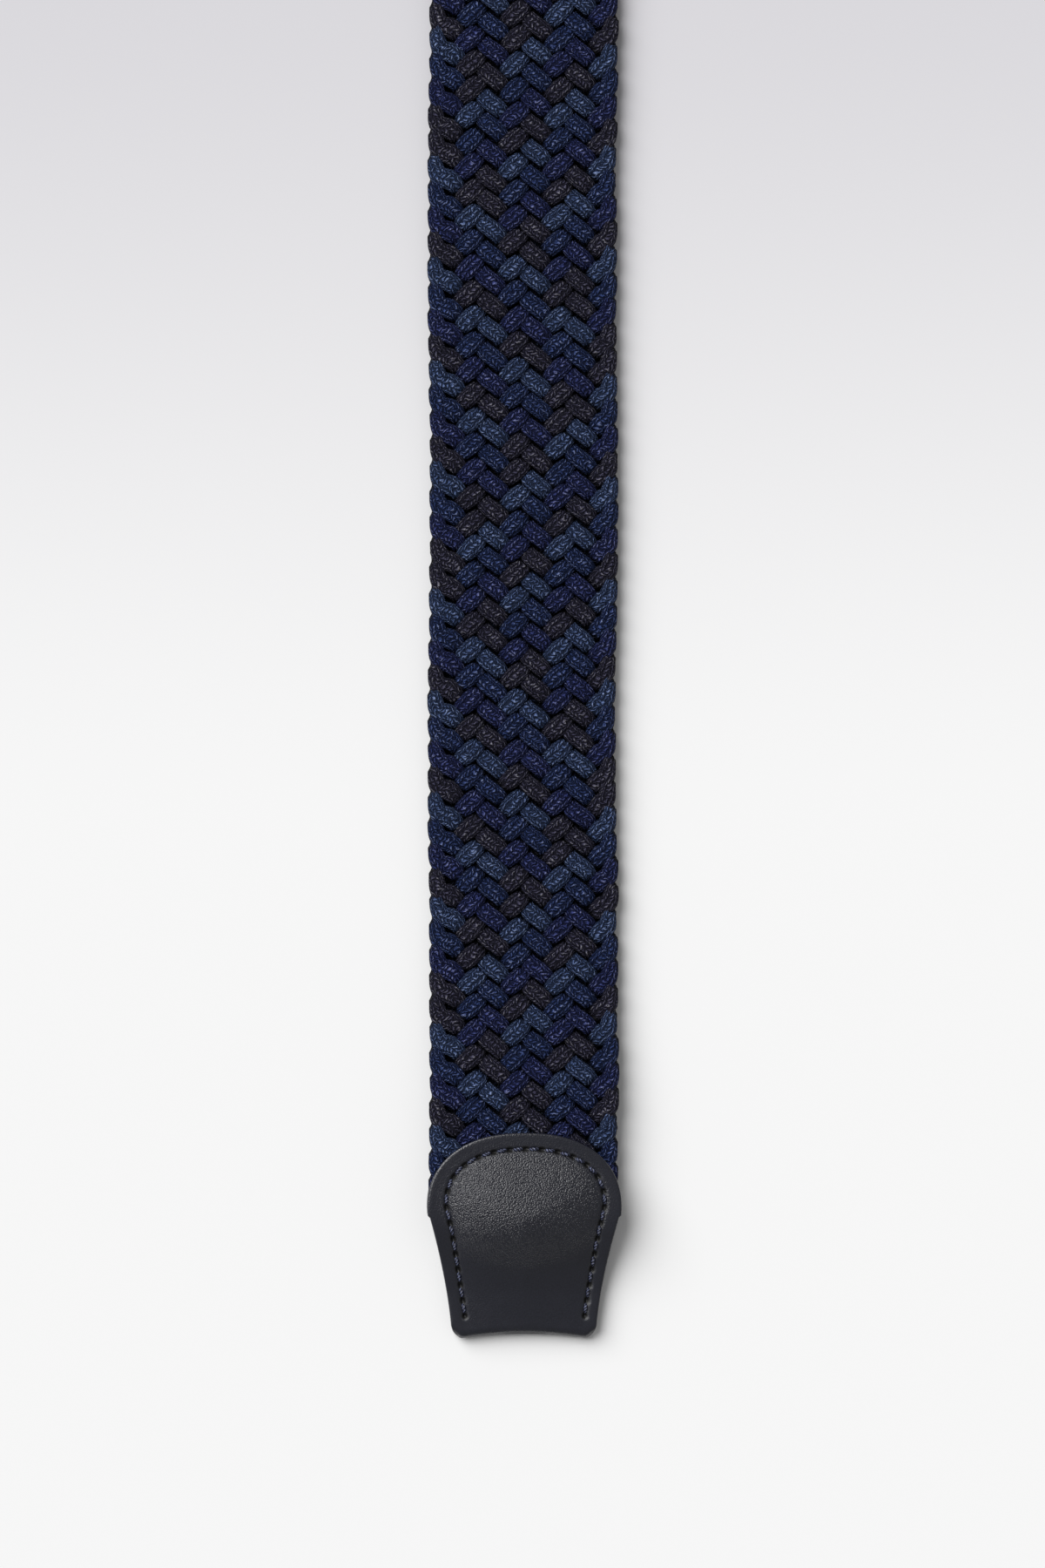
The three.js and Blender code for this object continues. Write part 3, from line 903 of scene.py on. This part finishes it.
def make_seam(name, shape, heights, place):
    """All the stitches of a leather, above and below, as one mesh."""
    line, length, pitch, count = seam_line(shape)
    parts = {"points": [], "quads": [], "uv": []}
    caps = []
    total = 0
    for under in (False, True):
        for k in range(count):
            middle = (k + 0.5) * pitch
            at = points_at(line, length, middle + np.linspace(-0.5, 0.5, POINTS) * SHOWN)
            share = np.linspace(-1, 1, POINTS)
            way = at[-1] - at[0]
            side = np.array([-way[1], way[0]]) / np.linalg.norm(way)
            at = at + side * (SLANT * share)[:, None]
            top = top_height(shape, heights, at[:, 0], at[:, 1])
            arch = ARCH - PLUNGE * np.abs(share) ** 4
            z = FLATTENED * THREAD + ARCH - arch if under else top + arch
            centres = np.column_stack([at, z])
            up = np.tile([0, 0, -1.0 if under else 1.0], (POINTS, 1))
            half = THREAD * (1 - 0.45 * np.abs(share) ** 3)
            points, quads, uv, ends = sweep(centres, up, half, FLATTENED * half, 2, 8)
            caps += [[total + corner for corner in end] for end in ends]
            parts["points"].append(points)
            parts["quads"].append(quads + total)
            parts["uv"].append(uv)
            total += len(points)
    points = place(np.concatenate(parts["points"]))
    quads = np.concatenate(parts["quads"])
    return new_piece(name, points, quads, {"twist": np.concatenate(parts["uv"])}, caps)


def thread_finish():
    recipe = Recipe("waxed thread")
    along, turn = recipe.uv("twist")
    ply = recipe.math("ADD", recipe.math("MULTIPLY", along, 0.9), turn)
    ply = recipe.math("MULTIPLY_ADD", recipe.noise(recipe.place(), 1500, 2), 0.6, ply)
    ply = recipe.math("SINE", recipe.math("MULTIPLY", ply, 4 * math.pi))
    ply = recipe.math("MULTIPLY_ADD", ply, 0.5, 0.5)
    # painted light: the ply stripes carry a painted highlight on each crest and painted shade between them
    recipe.put(recipe.shader.inputs["Base Color"], recipe.ramp(ply, THREAD_DYE_AND_PAINTED_LIGHT))
    recipe.shader.inputs["Roughness"].default_value = 0.4
    recipe.put(recipe.shader.inputs["Normal"], recipe.bump(ply, 0.15 * MM))
    return recipe.material


thread = thread_finish()
for name, shape, heights, place in (
    ("tip_seam", TIP, TIP_HEIGHTS, at_tip),
    ("chape_seam", CHAPE, CHAPE_HEIGHTS, at_bar),
):
    seam = make_seam(name, shape, heights, place)
    seam.data.materials.append(thread)
    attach(seam, "root")
    print(f"{name}: {triangles(seam)} triangles")


# %% [markdown]
# The buckle doesn't show in the photo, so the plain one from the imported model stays. It gets a satin nickel
# finish with fine brushed lines across the belt.

# %% The buckle's finish
NICKEL = (0.50, 0.49, 0.475, 1)
LINES = (300.0, 9000.0, 9000.0)  # few across the belt and many the other ways, so they run across it


def nickel():
    recipe = Recipe("satin nickel")
    place = recipe.place()
    streaks = recipe.add("Mapping", {"Vector": place, "Scale": LINES})
    lines = recipe.add("TexNoise", {"Vector": streaks, "Scale": 1.0, "Detail": 3.0})
    recipe.shader.inputs["Base Color"].default_value = NICKEL
    recipe.shader.inputs["Metallic"].default_value = 1.0
    recipe.put(recipe.shader.inputs["Roughness"], recipe.span(lines, 0.3, 0.7, 0.30, 0.44))
    recipe.put(recipe.shader.inputs["Normal"], recipe.bump(lines, 0.01 * MM))
    return recipe.material


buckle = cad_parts["buckle"]
buckle.data.materials.clear()
buckle.data.materials.append(nickel())


# %% [markdown]
# The belt lies on a plain pale surface under one large soft lamp from the upper left, so its shadow falls
# to the right and below. The surface's colour is painted a little darker away from the tip, as painted
# shade. The camera looks down from a metre away, a little from the left.

# %% Surface, light and camera
# painted shade: the surface's colour grows darker along the belt, away from the tip
BRIGHT_TO_DIM = (-0.45, -0.27)  # where along the belt the surface darkens
PAPER_WITH_PAINTED_SHADE = [(0, (0.86, 0.86, 0.86)), (1, (0.64, 0.63, 0.66))]
SKY = 0.30
LAMP = 3.82
LAMP_WIDTH = 52  # in degrees, so the shadow's edge is soft
LAMP_FROM = (-0.88, 0.82, 1)
bpy.ops.object.select_all(action="DESELECT")
bpy.ops.mesh.primitive_plane_add(size=6, location=(0, 0, -0.02 * MM))
surface = bpy.context.object
surface.name = "surface"
bpy.ops.object.transform_apply(location=True, rotation=True, scale=True)
surface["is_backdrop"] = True


def paper():
    recipe = Recipe("pale paper")
    split = recipe.add("SeparateXYZ", {0: recipe.place()}, 1)
    away = recipe.span(split, *BRIGHT_TO_DIM)
    recipe.put(recipe.shader.inputs["Base Color"], recipe.ramp(away, PAPER_WITH_PAINTED_SHADE))
    recipe.shader.inputs["Roughness"].default_value = 0.9
    recipe.shader.inputs["Specular IOR Level"].default_value = 0.1
    return recipe.material


surface.data.materials.append(paper())

world = bpy.data.worlds.new("studio")
world.use_nodes = True
world.node_tree.nodes["Background"].inputs[0].default_value = (1, 1, 1, 1)
world.node_tree.nodes["Background"].inputs[1].default_value = SKY
bpy.context.scene.world = world

lamp = bpy.data.lights.new("soft lamp", "SUN")
lamp.energy = LAMP
lamp.angle = math.radians(LAMP_WIDTH)
lamp_holder = bpy.data.objects.new("soft lamp", lamp)
lamp_holder.rotation_euler = Vector(LAMP_FROM).to_track_quat("Z", "Y").to_euler()
bpy.context.scene.collection.objects.link(lamp_holder)

VIEW_HEIGHT = 1.0
VIEW_SPAN = 0.2890
SIDE_STEP = 0.035  # the camera stands a little to the left
aim = Vector((-0.29 * MM, TIP_END + 102.35 * MM, 3 * MM))
camera = bpy.data.cameras.new("camera")
camera.lens = camera.sensor_width * VIEW_HEIGHT / VIEW_SPAN
camera_holder = bpy.data.objects.new("camera", camera)
camera_holder.location = aim + Vector((-SIDE_STEP, 0, VIEW_HEIGHT))
camera_holder.rotation_euler = (0, -math.atan2(SIDE_STEP, VIEW_HEIGHT), 0)
bpy.context.scene.collection.objects.link(camera_holder)
bpy.context.scene.camera = camera_holder
bpy.context.scene.view_settings.view_transform = "Standard"


# %% [markdown]
# Last, the sizes of the imported belt and of the finished one are set side by side, because the fine cords
# and the soft leather must stay within the belt's real size.

# %% Sizes and the end
plain = lambda box: [list(corner) for corner in box]
{"cad": plain(cad_box), "visual": plain(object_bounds())}
